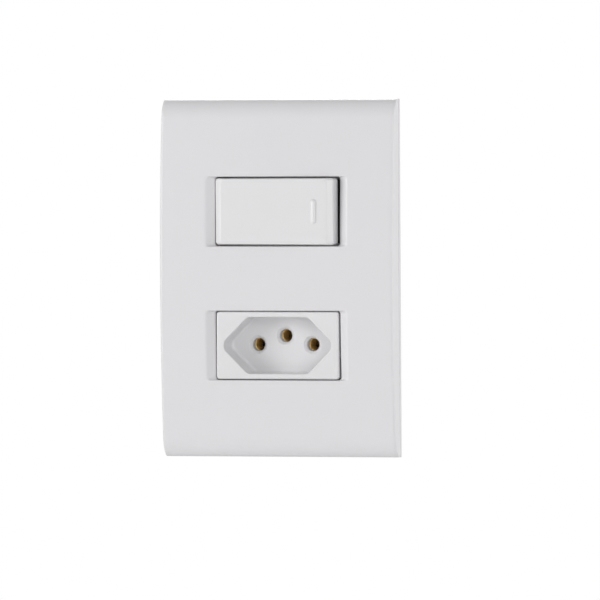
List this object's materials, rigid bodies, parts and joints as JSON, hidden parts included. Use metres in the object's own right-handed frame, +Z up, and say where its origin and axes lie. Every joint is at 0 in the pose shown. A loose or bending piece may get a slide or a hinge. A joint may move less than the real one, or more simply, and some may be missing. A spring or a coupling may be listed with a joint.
{
  "type": "switch and socket combination",
  "caption": "White wall accessory: a wide rocker switch above a hexagonal three-pin socket, in one crowned cover plate on a screw-fixed support frame.",
  "frame": {"origin": "middle of the wall box's mouth, in the wall's surface, at the middle of the cover plate", "axes": "+Y into the wall box, so the front faces -Y; +Z up along the plate's long side; +X right as seen from the front"},
  "size_m": [0.0816, 0.0338, 0.1202],
  "materials": {
    "cover_plate": "white satin moulding",
    "support_frame": "white satin moulding",
    "mounting_screw_upper": "zinc-plated",
    "mounting_screw_lower": "zinc-plated",
    "switch_housing": "dark grey moulding",
    "rocker": "white smooth moulding",
    "rocker_plunger": "white smooth moulding",
    "plunger_spring": "zinc-plated",
    "contact_arm": "stamped strip",
    "moving_contact": "bright rivet",
    "common_terminal": "stamped strip",
    "load_terminal": "stamped strip",
    "fixed_contact": "bright rivet",
    "switch_clamp_common": "zinc-plated",
    "switch_clamp_load": "zinc-plated",
    "switch_screw_common": "zinc-plated",
    "switch_screw_load": "zinc-plated",
    "socket_front": "white smooth moulding",
    "socket_housing": "white satin moulding",
    "contact_line": "stamped strip",
    "contact_neutral": "stamped strip",
    "contact_earth": "stamped strip",
    "socket_clamp_line": "zinc-plated",
    "socket_clamp_neutral": "zinc-plated",
    "socket_clamp_earth": "zinc-plated",
    "socket_screw_line": "zinc-plated",
    "socket_screw_neutral": "zinc-plated",
    "socket_screw_earth": "zinc-plated"
  },
  "bodies": {
    "base": {"cover_plate": "cover_plate", "support_frame": "support_frame", "mounting_screw_upper": "mounting_screw_upper", "mounting_screw_lower": "mounting_screw_lower", "switch_housing": "switch_housing", "common_terminal": "common_terminal", "load_terminal": "load_terminal", "fixed_contact": "fixed_contact", "switch_clamp_common": "switch_clamp_common", "switch_clamp_load": "switch_clamp_load", "switch_screw_common": "switch_screw_common", "switch_screw_load": "switch_screw_load", "socket_front": "socket_front", "socket_housing": "socket_housing", "contact_line": "contact_line", "contact_neutral": "contact_neutral", "contact_earth": "contact_earth", "socket_clamp_line": "socket_clamp_line", "socket_clamp_neutral": "socket_clamp_neutral", "socket_clamp_earth": "socket_clamp_earth", "socket_screw_line": "socket_screw_line", "socket_screw_neutral": "socket_screw_neutral", "socket_screw_earth": "socket_screw_earth"},
    "rocker": {"rocker": "rocker", "plunger_spring": "plunger_spring"},
    "plunger": {"rocker_plunger": "rocker_plunger"},
    "contact_arm": {"contact_arm": "contact_arm", "moving_contact": "moving_contact"}
  },
  "joints": [
    {"name": "rocker_tilt", "type": "hinge", "parent": "base", "child": "rocker", "pos_m": [0, 0, 0.0225], "axis": [0, 0, 1], "range_deg": [0, 7]},
    {"name": "plunger_slide", "type": "slide", "parent": "rocker", "child": "plunger", "axis": [-0.061, -0.9981, 0], "range_m": [0, 0.001], "stiffness_N_per_m": 300, "springref_m": -0.002, "deforming": ["plunger_spring"]},
    {"name": "contact_arm_tilt", "type": "hinge", "parent": "base", "child": "contact_arm", "pos_m": [0, 0.0098, 0.0225], "axis": [0, 0, 1], "range_deg": [-12, 0]}
  ],
  "couplings": [
    {"joint": "contact_arm_tilt", "follows": "rocker_tilt", "ratio": -1.7143}
  ]
}
